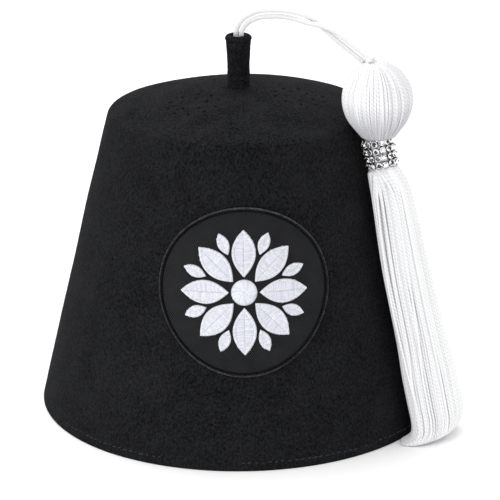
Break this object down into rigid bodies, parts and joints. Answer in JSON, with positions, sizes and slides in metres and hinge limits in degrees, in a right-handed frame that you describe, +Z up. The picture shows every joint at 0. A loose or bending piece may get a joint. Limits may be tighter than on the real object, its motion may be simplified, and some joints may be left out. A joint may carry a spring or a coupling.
{
  "type": "fez hat with tassel",
  "caption": "Black felt fez with a stem, a round embroidered badge on the front and a white tassel with a rhinestone band on stiff cords.",
  "frame": {"origin": "middle of the head opening, in the plane that the rim stands on", "axes": "+Z up through the stem, -Y towards the front with the badge, +X towards the wearer's left, the side where the tassel hangs"},
  "size_m": [0.1928, 0.1938, 0.1868],
  "materials": {
    "felt": "black wool felt, matt, fine nap",
    "badge_twill": "black woven twill",
    "badge_border": "black overlocked border thread",
    "white_thread": "white satin stitch embroidery",
    "rayon": "white twisted rayon strands with a soft sheen",
    "rhinestones": "clear cut stones in bright silver cups"
  },
  "bodies": {
    "root": {"crown": "felt", "stem": "felt", "badge_ground": "badge_twill", "badge_border": "badge_border", "rosette_petal_1": "white_thread", "rosette_leaf_1": "white_thread", "rosette_petal_2": "white_thread", "rosette_leaf_2": "white_thread", "rosette_petal_3": "white_thread", "rosette_leaf_3": "white_thread", "rosette_petal_4": "white_thread", "rosette_leaf_4": "white_thread", "rosette_petal_5": "white_thread", "rosette_leaf_5": "white_thread", "rosette_petal_6": "white_thread", "rosette_leaf_6": "white_thread", "rosette_petal_7": "white_thread", "rosette_leaf_7": "white_thread", "rosette_petal_8": "white_thread", "rosette_leaf_8": "white_thread", "rosette_centre": "white_thread", "tassel_cord_1": "rayon", "tassel_cord_2": "rayon", "tassel": "rayon", "rhinestone_band": "rhinestones"}
  },
  "joints": []
}
